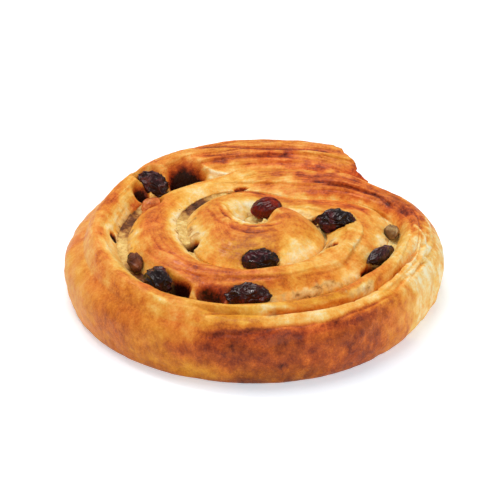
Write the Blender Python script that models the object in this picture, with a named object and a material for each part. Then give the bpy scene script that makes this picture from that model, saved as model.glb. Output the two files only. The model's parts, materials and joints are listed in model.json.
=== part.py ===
"""Raisin roll: one strip of laminated dough wound inwards for three turns, with the
custard that was rolled up in it and its raisins. Units are metres, +Z is up, and the
roll stands on the plane z = 0 with the middle of its outline at the origin."""

import bpy
import bmesh
import numpy as np

MM = 0.001

# The spiral. A place along the strip is its turn number t: 0 at the cut tail at the back
# right, growing anticlockwise as seen from above, to almost 3 at the inner end.
TAIL_ANGLE = 60.0
SPIRAL_CENTRE = (1.0, -1.6)
STEPS_PER_TURN = 8

# Distance from the spiral's centre at every eighth of a turn, in millimetres: first the
# free outer edge, then the seam between turns as it winds in.
FREE_EDGE = (57.0, 58.0, 56.0, 55.7, 55.2, 54.0, 51.8, 53.2)
FIRST_SEAM = (39.5, 36.0, 37.6, 39.4, 40.4, 38.6, 38.0, 38.0)
SECOND_SEAM = (22.0, 24.2, 23.4, 21.4, 24.8, 24.6, 21.4, 16.6)
THIRD_SEAM = (10.6, 8.0, 4.0, 2.2, 1.8, 1.6, 1.6, 1.6, 1.6)

# Sizes at every quarter of a turn from the tail inwards, in millimetres: the ridge of the
# crown, its place from the outer side (0) to the inner side (1) of the strip, the mouth of
# the seam inside it and the width of that seam.
RIDGE_HEIGHT = (23.5, 22.1, 20.1, 20.2, 22.0, 20.9, 21.5, 21.9, 19.4, 22.8, 24.2, 24.6, 24.0)
RIDGE_PLACE = (0.36, 0.33, 0.46, 0.72, 0.36, 0.42, 0.66, 0.70, 0.45, 0.50, 0.70, 0.66, 0.64)
SEAM_HEIGHT = (18.6, 16.8, 15.8, 16.6, 18.8, 18.4, 18.4, 18.4, 18.0, 18.6, 19.4, 20.0, 20.6)
SEAM_WIDTH = (1.2, 3.2, 2.6, 2.8, 1.8, 3.2, 1.8, 2.6, 2.2, 1.8, 1.6, 1.6, 1.6)

# The outer wall at every quarter of the first turn: its height, and how far its top rolls in.
WALL_HEIGHT = (19.0, 17.0, 15.8, 15.6, 17.2)
TOP_ROLL = (1.5, 6.4, 3.4, 1.8, 4.4)

# The foot of the outer wall is tucked in below its belly, at this share of its height.
FOOT_TUCK = 2.2
BELLY_LEVEL = 0.55

# The lip along the front, where the outer layer has rolled up and the next shows above it:
# its share of the climb to the ridge, its rise, and the groove behind it.
STEP_START = 0.50
STEP_END = 0.82
STEP_FADE = 0.06
STEP_WIDTH = 0.56
STEP_RISE = 1.7
GROOVE_DEPTH = 0.9
GROOVE_WIDTH = 0.12

# Two terraces along the tail turn, where the top layers end short of its inner side: place
# across the strip and drop in millimetres, fading out along the strip.
TERRACES = ((0.26, 0.5), (0.58, 0.7))
TERRACE_WIDTH = 0.10
TERRACE_END = 0.28

# Unevenness of the baked strip: height of the swells and how many there are in a turn.
SWELL_HEIGHT = 0.32
SWELLS_PER_TURN = (5, 9, 14)
SWELLS_CALM = (1.5, 2.2)

# The two ends of the strip: how far each cut runs askew, in turns, and over which length.
TAIL_TURN = 0.028
TAIL_SKEW = 0.078
TAIL_LENGTH = 0.12
TIP_TURN = 2.935
TIP_SKEW = 0.05
TIP_LENGTH = 0.20

# The custard fills the seam, clear of the dough by this gap, and past the last turn's end
# it spreads to the middle as the floor of the notch there.
GAP = 0.3
CUSTARD_START = 0.04
CUSTARD_END = 2.85
CUSTARD_FOOT = 0.4
CUSTARD_SINK = 0.5
NOTCH_START = 1.955
NOTCH_WIDENED = 1.985
NOTCH_RADIUS = 0.5

# Each raisin: name, angle about the spiral's centre and distance from it, height of its
# middle, length, breadth, thickness, and how its length is turned and tipped, in degrees.
RAISINS = (
    ("raisin_1", 138.5, 41.8, 19.2, 11.0, 7.0, 7.0, 150.0, -20.0),
    ("raisin_2", 207.4, 38.8, 18.0, 8.4, 4.2, 4.8, 112.0, 0.0),
    ("raisin_3", 226.0, 39.5, 18.2, 11.4, 7.2, 7.6, 122.0, 16.0),
    ("raisin_4", 265.3, 37.4, 18.0, 13.0, 7.0, 7.4, 2.0, 0.0),
    ("raisin_5", 335.6, 37.9, 18.6, 11.6, 4.8, 5.0, 48.0, 0.0),
    ("raisin_6", 358.0, 38.3, 18.6, 5.8, 4.4, 4.2, 100.0, 0.0),
    ("raisin_7", 3.6, 22.4, 20.4, 12.0, 7.6, 7.6, 8.0, 4.0),
    ("raisin_8", 74.0, 9.2, 20.8, 9.4, 6.4, 6.2, 24.0, 0.0),
    ("raisin_9", 272.0, 22.0, 20.6, 10.6, 7.0, 6.8, 2.0, 0.0),
    ("raisin_10", 155.0, 34.6, 18.4, 8.6, 5.4, 4.8, 64.0, 0.0),
)

# Hollows baked into the seam, in the same terms, under the tail turn and beside it.
HOLLOWS = (
    ("hollow_1", 121.5, 40.6, 17.4, 11.4, 7.4, 10.0, 26.0, 0.0),
    ("hollow_2", 147.2, 41.6, 17.4, 5.2, 3.6, 7.0, 62.0, 0.0),
)
RAISIN_SIDES = 14
RAISIN_RINGS = 9
RAISIN_WRINKLE = 0.07
RAISIN_WAVES = 3

# How finely the strips are divided.
DOUGH_STATIONS = 150
CUSTARD_STATIONS = 120
WALL_LEVELS = (0.0, 0.10, 0.30, 0.55, 0.78, 0.93)
CLIMB_SHARES = (0.0, 0.16, 0.32, 0.46, 0.56, 0.66, 0.80, 0.92)
FALL_SHARES = (0.0, 0.20, 0.38, 0.56, 0.74, 0.90, 1.0)
INNER_LEVELS = (0.85, 0.45, 0.0)


def clear_scene():
    """Removes what a new Blender file holds, so that the script can run anywhere."""
    for thing in list(bpy.data.objects):
        bpy.data.objects.remove(thing, do_unlink=True)


def through(values, place):
    """A smooth curve through evenly spaced values, read at any place along them."""
    values = np.asarray(values, float)
    place = np.clip(place, 0.0, len(values) - 1.0001)
    first = np.floor(place).astype(int)
    part = place - first
    ends = (2 * values[0] - values[1], 2 * values[-1] - values[-2])
    padded = np.concatenate(([ends[0]], values, [ends[1]]))
    a, b, c, d = (padded[first + step] for step in range(4))
    bend = 3 * (b - c) + d - a
    return b + 0.5 * part * (c - a + part * (2 * a - 5 * b + 4 * c - d + part * bend))


def fade(low, high, place):
    """Rises smoothly from 0 at low to 1 at high."""
    share = np.clip((place - low) / (high - low), 0.0, 1.0)
    return share * share * (3 - 2 * share)


def seam_radius(turn):
    """Distance of the seam from the spiral's centre; below turn 0 it is the free edge."""
    return through(FREE_EDGE + FIRST_SEAM + SECOND_SEAM + THIRD_SEAM, (turn + 1) * STEPS_PER_TURN)


def at_quarters(values, turn):
    """A value that is given at every quarter of a turn from the tail."""
    return through(values, turn * 4)


def freedom(turn):
    """1 where the strip's outer side is the roll's own wall, 0 where a turn lies outside it."""
    return 1.0 - fade(0.93, 1.02, turn)


def set_back(turn):
    """How far a place is set back along the strip by the skew of its two ends, in turns."""
    tail = TAIL_SKEW * (1 - fade(TAIL_TURN, TAIL_TURN + TAIL_LENGTH, turn))
    tip = TIP_SKEW * fade(TIP_TURN - TIP_LENGTH, TIP_TURN, turn)
    return tail + tip


def outer_height(turn):
    """Height at which the outer wall turns over into the crown."""
    wall = at_quarters(WALL_HEIGHT, turn)
    seam = at_quarters(SEAM_HEIGHT, np.maximum(turn - 1, 0.0))
    free = freedom(turn)
    return free * wall + (1 - free) * seam


def unevenness(turn, across):
    """Terraces of the tail turn and gentle swells everywhere, fading out at the strip's sides."""
    inside = np.sin(np.pi * across)
    swell = 0.0
    for number, waves in enumerate(SWELLS_PER_TURN):
        swell = swell + np.sin(2 * np.pi * waves * turn + 2.2 * number + 3.0 * across) / (number + 1)
    terrace = 0.0
    for edge, drop in TERRACES:
        terrace = terrace + drop * (0.5 - fade(edge, edge + TERRACE_WIDTH, across))
    swell = swell * SWELL_HEIGHT * (1 - 0.8 * fade(*SWELLS_CALM, turn))
    return inside * (swell + terrace * (1 - fade(0.5 * TERRACE_END, TERRACE_END, turn)))


def crown_height(turn, across):
    """Height of the strip's top surface, from its outer side (0) to its inner side (1)."""
    low = outer_height(turn)
    ridge = at_quarters(RIDGE_HEIGHT, turn)
    place = at_quarters(RIDGE_PLACE, turn)
    inner = at_quarters(SEAM_HEIGHT, turn)
    climb = np.clip(across / place, 0.0, 1.0)
    plain = low + (ridge - low) * np.sin(0.5 * np.pi * climb) ** 0.85
    late = np.clip((climb - STEP_WIDTH) / (1 - STEP_WIDTH), 0.0, 1.0)
    lip = low + STEP_RISE * np.sin(0.5 * np.pi * np.minimum(climb / (0.7 * STEP_WIDTH), 1.0)) ** 0.7
    groove = GROOVE_DEPTH * np.exp(-((climb - STEP_WIDTH) / GROOVE_WIDTH) ** 2)
    stepped = lip - groove + (ridge - low - STEP_RISE) * np.sin(0.5 * np.pi * late) ** 0.8
    step = fade(STEP_START, STEP_START + STEP_FADE, turn) * (1 - fade(STEP_END - STEP_FADE, STEP_END, turn))
    rise = plain + (stepped - plain) * step
    fall = np.clip((across - place) / (1 - place), 0.0, 1.0)
    drop = inner + (ridge - inner) * np.cos(0.5 * np.pi * fall) ** 0.9
    return np.where(across < place, rise, drop) + unevenness(turn, across)


def around(turn, radius):
    """The place in plan at a turn of the spiral and a distance from its centre."""
    angle = np.radians(TAIL_ANGLE + 360.0 * turn)
    return SPIRAL_CENTRE[0] + radius * np.cos(angle), SPIRAL_CENTRE[1] + radius * np.sin(angle)


def section(turn):
    """One ring of points round the strip: foot, outer wall, crown and inner wall."""
    back = set_back(turn)
    ring = []

    def add(across, level, roll, foot=0.0):
        own_turn = turn - back * across
        free = freedom(own_turn)
        outer = seam_radius(own_turn - 1) - 0.5 * (1 - free) * at_quarters(SEAM_WIDTH, own_turn - 1)
        inner = seam_radius(own_turn) + 0.5 * at_quarters(SEAM_WIDTH, own_turn)
        tuck = free * (foot + roll * at_quarters(TOP_ROLL, own_turn))
        x, y = around(own_turn, outer + (inner - outer) * across - tuck)
        ring.append((x, y, level * crown_height(own_turn, across)))

    for level in WALL_LEVELS:
        below = max(0.0, 1 - level / BELLY_LEVEL)
        above = max(0.0, (level - BELLY_LEVEL) / (1 - BELLY_LEVEL))
        add(0.0, level, above**2.2, FOOT_TUCK * below**2.2)
    place = at_quarters(RIDGE_PLACE, turn)
    for share in CLIMB_SHARES:
        add(place * share, 1.0, 1 - place * share)
    for share in FALL_SHARES:
        across = place + (1 - place) * share
        add(across, 1.0, 1 - across)
    for level in INNER_LEVELS:
        add(1.0, level, 0.0)
    add(0.5, 0.0, 0.0)
    return ring


def custard_section(turn):
    """One ring round the custard, in its seam or on the floor of the notch."""
    half = 0.5 * at_quarters(SEAM_WIDTH, turn) - GAP
    middle = seam_radius(turn)
    top = at_quarters(SEAM_HEIGHT, turn) - CUSTARD_SINK
    spread = fade(NOTCH_START, NOTCH_WIDENED, turn)
    inner = (middle - half) * (1 - spread) + NOTCH_RADIUS * spread
    outer = middle + half
    corners = ((inner, CUSTARD_FOOT), (outer, CUSTARD_FOOT), (outer, top), (inner, top))
    return [(*around(turn, radius), height) for radius, height in corners]


def loft(name, rings):
    """A closed body through rings of the same number of points, with both ends capped."""
    mesh = bmesh.new()
    loops = [[mesh.verts.new(np.array(point) * MM) for point in ring] for ring in rings]
    count = len(loops[0])
    for before, after in zip(loops, loops[1:]):
        for side in range(count):
            other = (side + 1) % count
            mesh.faces.new((before[side], before[other], after[other], after[side]))
    mesh.faces.new(loops[0])
    mesh.faces.new(reversed(loops[-1]))
    bmesh.ops.triangulate(mesh, faces=mesh.faces)
    bmesh.ops.recalc_face_normals(mesh, faces=mesh.faces)
    data = bpy.data.meshes.new(name)
    mesh.to_mesh(data)
    mesh.free()
    data.shade_smooth()
    return bpy.data.objects.new(name, data)


def stations(first, last, count):
    """Turn numbers from first to last, spaced closer where the spiral is tight."""
    turns = np.linspace(first, last, 2000)
    density = np.sqrt(np.maximum(seam_radius(turns - 0.5), 6.0))
    reach = np.concatenate(([0.0], np.cumsum(0.5 * (density[1:] + density[:-1]))))
    return np.interp(np.linspace(0.0, reach[-1], count), reach, turns)


def make_dough():
    turns = stations(TAIL_TURN, TIP_TURN, DOUGH_STATIONS)
    return loft("dough", [section(turn) for turn in turns])


def make_custard():
    turns = stations(CUSTARD_START, CUSTARD_END, CUSTARD_STATIONS)
    return loft("custard", [custard_section(turn) for turn in turns])


def raisin_shape(name, length, breadth, thickness, swell=0.0):
    """A dried-fruit shape: an ellipsoid with shallow wrinkles, grown by swell all round."""
    generator = np.random.default_rng(sum(name.encode()))
    phases = generator.uniform(0.0, 2 * np.pi, 3)
    mesh = bmesh.new()
    bmesh.ops.create_uvsphere(mesh, u_segments=RAISIN_SIDES, v_segments=RAISIN_RINGS, radius=1.0)
    for vertex in mesh.verts:
        x, y, z = vertex.co
        around = np.arctan2(y, x)
        wave = np.sin(RAISIN_WAVES * around + phases[0]) * np.cos(2.0 * z + phases[1])
        wave += 0.6 * np.sin(2 * around + 3.0 * z + phases[2])
        size = 1.0 + RAISIN_WRINKLE * wave * (1 - z * z)
        vertex.co = (
            x * (0.5 * length * size + swell) * MM,
            y * (0.5 * breadth * size + swell) * MM,
            z * (0.5 * thickness * size + swell) * MM,
        )
    bmesh.ops.triangulate(mesh, faces=mesh.faces)
    data = bpy.data.meshes.new(name)
    mesh.to_mesh(data)
    mesh.free()
    data.shade_smooth()
    return bpy.data.objects.new(name, data)


def place(thing, angle, distance, height, turned, tipped):
    """Sets a raisin or a cutter on the seam by its angle and distance from the centre."""
    x, y = around((angle - TAIL_ANGLE) / 360.0, distance)
    thing.location = (x * MM, y * MM, height * MM)
    thing.rotation_euler = (0.0, np.radians(tipped), np.radians(turned))


def add_cutter(cutters, shape, swell):
    """A wire shape that is taken out of the dough and the custard."""
    name, angle, distance, height, length, breadth, thickness, turned, tipped = shape
    cutter = raisin_shape(name, length, breadth, thickness, swell)
    cutter.name = name + "_cutter"
    place(cutter, angle, distance, height, turned, tipped)
    cutter.hide_render = True
    cutter.display_type = "WIRE"
    cutters.objects.link(cutter)


def make_raisins(parts, cutters):
    """Every raisin, and beside it the slightly larger cutter that makes its pocket."""
    for shape in RAISINS:
        name, angle, distance, height, length, breadth, thickness, turned, tipped = shape
        raisin = raisin_shape(name, length, breadth, thickness)
        place(raisin, angle, distance, height, turned, tipped)
        raisin.data.materials.append(material("raisin_skin", (0.030, 0.012, 0.010), 0.30))
        parts.objects.link(raisin)
        add_cutter(cutters, shape, GAP + 0.05)
    for shape in HOLLOWS:
        add_cutter(cutters, shape, 0.0)


def cut_pockets(body, cutters):
    """Takes the raisins' pockets out of a body."""
    modifier = body.modifiers.new("pockets", "BOOLEAN")
    modifier.operation = "DIFFERENCE"
    modifier.solver = "EXACT"
    modifier.operand_type = "COLLECTION"
    modifier.collection = cutters


def material(name, colour, roughness):
    """One Principled material, made once and shared."""
    if name in bpy.data.materials:
        return bpy.data.materials[name]
    made = bpy.data.materials.new(name)
    made.use_nodes = True
    shader = made.node_tree.nodes["Principled BSDF"]
    shader.inputs["Base Color"].default_value = (*colour, 1.0)
    shader.inputs["Roughness"].default_value = roughness
    shader.inputs["Metallic"].default_value = 0.0
    return made


def main():
    clear_scene()
    parts = bpy.data.collections.new("raisin_roll")
    cutters = bpy.data.collections.new("pockets")
    bpy.context.scene.collection.children.link(parts)
    bpy.context.scene.collection.children.link(cutters)
    cutters.hide_render = True
    make_raisins(parts, cutters)
    dough = make_dough()
    dough.data.materials.append(material("baked_dough", (0.62, 0.30, 0.09), 0.35))
    custard = make_custard()
    custard.data.materials.append(material("custard_filling", (0.50, 0.38, 0.18), 0.45))
    for body in (dough, custard):
        parts.objects.link(body)
        cut_pockets(body, cutters)


main()
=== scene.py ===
"""Looks of the raisin roll: browned, flaky dough, the custard in its seam and the wrinkled
raisins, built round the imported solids. Lengths are in millimetres until a mesh is made."""

import json

import bpy
import bmesh
import numpy as np
from mathutils import Euler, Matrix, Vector, noise

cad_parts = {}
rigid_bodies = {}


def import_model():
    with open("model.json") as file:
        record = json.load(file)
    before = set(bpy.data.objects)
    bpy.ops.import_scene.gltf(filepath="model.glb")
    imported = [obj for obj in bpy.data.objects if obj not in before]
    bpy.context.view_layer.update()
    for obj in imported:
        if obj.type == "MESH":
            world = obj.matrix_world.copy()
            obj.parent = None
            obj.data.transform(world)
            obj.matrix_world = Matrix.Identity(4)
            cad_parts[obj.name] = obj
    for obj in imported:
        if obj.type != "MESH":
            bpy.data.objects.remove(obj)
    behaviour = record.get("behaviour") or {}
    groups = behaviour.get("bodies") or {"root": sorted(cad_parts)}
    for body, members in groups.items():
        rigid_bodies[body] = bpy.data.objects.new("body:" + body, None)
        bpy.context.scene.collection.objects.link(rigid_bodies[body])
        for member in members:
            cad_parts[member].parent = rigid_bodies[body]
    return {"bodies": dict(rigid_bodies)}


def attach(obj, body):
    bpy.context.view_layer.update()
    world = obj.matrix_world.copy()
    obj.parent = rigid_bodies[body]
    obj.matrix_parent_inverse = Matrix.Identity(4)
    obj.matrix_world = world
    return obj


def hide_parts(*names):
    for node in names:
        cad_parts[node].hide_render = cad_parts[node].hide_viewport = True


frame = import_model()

MM = 0.001
BODY = next(iter(frame["bodies"]))
NOISE_SEED = 5
noise.seed_set(NOISE_SEED)


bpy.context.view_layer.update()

# The spiral, as the solids have it: distance of the strip's edges from the spiral's centre
# at every eighth of a turn, first the free outer edge, here up to 0.5 mm away from the solid's,
# and then the seam as it winds in.
TAIL_ANGLE = 60.0
SPIRAL_CENTRE = (1.0, -1.6)
STEPS_PER_TURN = 8
FREE_EDGE = (57.0, 58.0, 55.5, 55.9, 55.2, 54.3, 52.0, 53.2)
FIRST_SEAM = (39.5, 36.0, 37.6, 39.4, 40.4, 38.6, 38.0, 38.0)
SECOND_SEAM = (22.0, 24.2, 23.4, 21.4, 24.8, 24.6, 21.4, 16.6)
THIRD_SEAM = (10.6, 8.0, 4.0, 2.2, 1.8, 1.6, 1.6, 1.6, 1.6)

# Sizes of the strip at every quarter of a turn from the tail inwards, as the solids have them.
RIDGE_HEIGHT = (23.5, 22.1, 20.1, 20.2, 22.0, 20.9, 21.5, 21.9, 19.4, 22.8, 24.2, 24.6, 24.0)
RIDGE_PLACE = (0.36, 0.33, 0.46, 0.72, 0.36, 0.42, 0.66, 0.70, 0.45, 0.50, 0.70, 0.66, 0.64)
SEAM_HEIGHT = (18.6, 16.8, 15.8, 16.6, 18.8, 18.4, 18.4, 18.4, 18.0, 18.6, 19.4, 20.0, 20.6)
SEAM_WIDTH = (1.2, 3.2, 2.6, 2.8, 1.8, 3.2, 1.8, 2.6, 2.2, 1.8, 1.6, 1.6, 1.6)
WALL_HEIGHT = (19.0, 17.0, 15.8, 15.6, 17.2)
TOP_ROLL = (1.5, 6.4, 3.4, 1.8, 4.4)

# The foot of the outer wall is tucked in below its belly, 0.5 mm less than in the solids.
FOOT_TUCK = 1.7
BELLY_LEVEL = 0.55

# The two ends of the strip, as the solids have them: how far each cut runs askew, in turns,
# and over which length.
TAIL_TURN = 0.028
TAIL_SKEW = 0.078
TAIL_LENGTH = 0.12
TIP_TURN = 2.935
TIP_SKEW = 0.05
TIP_LENGTH = 0.20

# The lip along the front: a layer folded out over the wall, a little higher than in the
# solids, with a deeper and narrower groove behind it. It is widest at one place, the lens.
STEP_START = 0.515
STEP_END = 0.82
STEP_FADE = 0.05
STEP_WIDTH = 0.66
STEP_RISE = 2.3
GROOVE_DEPTH = 1.5
GROOVE_WIDTH = 0.06
GROOVE_START = 0.575
GROOVE_FADE = 0.03
LENS_TURN = 0.553
LENS_LENGTH = 0.032
LENS_WIDENING = 0.28

# How finely the dough is divided: places along the strip, up its outer wall, over its crown
# and down its inner side.
STATIONS = 1030
WALL_POINTS = 24
CROWN_POINTS = 62
INNER_LEVELS = (0.97, 0.92, 0.82, 0.62, 0.0)
CAP_RINGS = 12

# The wall's height as its textures and relief take it, what a closed seam still leaves open
# on each side, how far round a raisin the dough gives way, and a height above everything.
WALL_RISE = 17.0
SEAM_LEFT = 0.06
FUNNEL_REACH = 4.0
FAR_UP = 1e3

# How ragged the cut at the tail is, and how far its inner corner is rounded off, as shares
# of its slant.
RAGGED = 0.07
CORNER_TRIM = 0.02

# Where the turns have baked together and the seam has closed at the top: turn, half length
# in turns, amount.
CLOSED = (
    (-0.03, 0.05, 1.0),
    (0.05, 0.09, 1.0),
    (0.70, 0.03, 0.6),
    (0.97, 0.10, 1.0),
    (1.08, 0.06, 0.8),
    (1.65, 0.19, 1.0),
    (2.55, 0.25, 0.8),
)

# Swells of the baked strip: their height, how many there are in a turn, and the turns over
# which they calm down.
SWELL_HEIGHT = 0.32
SWELLS_PER_TURN = (5, 9, 14)
SWELLS_CALM = (1.5, 2.2)

# Edges of single layers on the crown: first and last turn, place across the strip at both,
# drop towards the inner side and width of the drop in millimetres. A negative drop faces out.
LAYER_EDGES = (
    (0.0, 0.3, 0.2, 0.26, 0.5, 0.5),
    (-0.04, 0.22, 0.44, 0.56, 0.45, 0.5),
    (-0.04, 0.2, 0.62, 0.72, 0.55, 0.6),
    (0.02, 0.18, 0.8, 0.84, 0.4, 0.5),
    (0.3, 0.46, 0.62, 0.7, 0.22, 0.9),
    (0.7, 0.84, 0.22, 0.46, -0.55, 0.6),
    (0.72, 0.9, 0.34, 0.62, -0.45, 0.5),
    (0.74, 0.88, 0.55, 0.8, -0.4, 0.5),
    (0.73, 0.83, 0.08, 0.3, -0.5, 0.6),
    (0.86, 1.14, 0.3, 0.55, 0.35, 0.5),
    (0.9, 1.18, 0.62, 0.8, 0.45, 0.5),
    (0.98, 1.22, 0.2, 0.34, 0.3, 0.5),
    (1.4, 1.62, 0.3, 0.36, 0.45, 0.8),
    (1.44, 1.68, 0.62, 0.72, 0.4, 0.7),
    (1.52, 1.8, 0.46, 0.38, -0.45, 0.8),
    (1.62, 1.96, 0.3, 0.52, -0.4, 0.6),
    (1.7, 2.02, 0.62, 0.76, 0.4, 0.6),
    (1.84, 2.1, 0.2, 0.4, 0.3, 0.5),
    (2.02, 2.22, 0.3, 0.38, 0.3, 0.5),
)

# Creases seen from above: depth, half width, darkening added, and the places in plan that the
# crease runs through. The darkening is the crease's own browning together with painted shade
# in the crease; where it is negative it is a painted highlight on a raised fold. A negative
# depth is a thin raised fold.
CREASES = (
    (0.4, 0.45, 0.2, ((-20.0, 42.5), (-14.7, 44.0), (-0.7, 43.5), (13.9, 42.1), (26.3, 38.4))),
    (0.3, 0.45, 0.1, ((-22.0, 36.0), (-12.0, 40.0), (1.7, 40.8), (13.9, 38.6), (25.9, 34.7))),
    (0.5, 0.5, 0.16, ((13.6, 23.0), (25.3, 20.3), (35.5, 15.9), (41.5, 8.0))),
    (0.22, 0.45, 0.08, ((-29.7, -7.2), (-27.1, -16.4), (-21.9, -21.5), (-15.0, -28.7), (-4.0, -33.0))),
    (0.18, 0.4, 0.06, ((-31.5, -13.0), (-27.5, -21.5), (-20.5, -28.0), (-11.0, -33.5))),
    (0.22, 0.45, 0.08, ((-14.4, 8.2), (-12.5, 0.1), (-8.6, -7.4), (-1.3, -13.4), (8.6, -12.0))),
    (0.6, 0.5, 0.12, ((-10.8, 6.8), (-8.6, 0.0), (-5.6, -6.0), (-1.6, -9.4), (3.4, -10.0), (9.0, -8.0))),
    (0.55, 0.45, 0.1, ((-16.8, -51.2), (-10.6, -53.2), (1.7, -53.3), (18.5, -49.8), (29.9, -42.4),
                        (42.3, -30.7))),
    (0.35, 0.4, 0.06, ((-14.1, -49.0), (-8.0, -47.8), (1.9, -48.8))),
    (0.8, 0.38, 0.4, ((0.5, -49.0), (12.1, -47.5), (17.6, -45.2), (24.5, -41.2), (33.9, -32.9))),
    (0.5, 0.4, 0.0, ((27.0, -41.0), (25.8, -38.6), (25.2, -36.4))),
    (0.55, 0.45, 0.1, ((33.4, -34.6), (33.4, -32.0), (35.6, -28.6))),
    (-0.3, 0.6, -0.08, ((-28.4, -39.6), (-26.1, -42.4), (-22.8, -44.4), (-21.0, -43.4))),
    (0.45, 0.5, 0.06, ((52.6, -5.4), (47.9, -17.3), (41.6, -28.0), (37.7, -34.1))),
    (0.5, 0.5, 0.06, ((50.7, -6.1), (45.2, -15.3), (38.9, -26.4), (35.6, -30.8))),
    (-0.5, 0.5, -0.3, ((-7.0, 34.0), (-9.6, 34.3), (-12.8, 34.4), (-16.4, 35.2))),
    (-0.45, 0.6, -0.14, ((-9.6, 7.0), (-8.4, 3.6), (-6.6, 0.2), (-3.6, -4.8), (-0.4, -7.6))),
    (-0.4, 0.4, -0.26, ((45.2, -3.6), (48.2, -7.3), (49.8, -12.0))),
    (0.16, 0.6, 0.02, ((-42.8, 3.4), (-43.6, -7.3), (-42.2, -18.2), (-38.4, -25.6), (-32.8, -34.0))),
)
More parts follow.
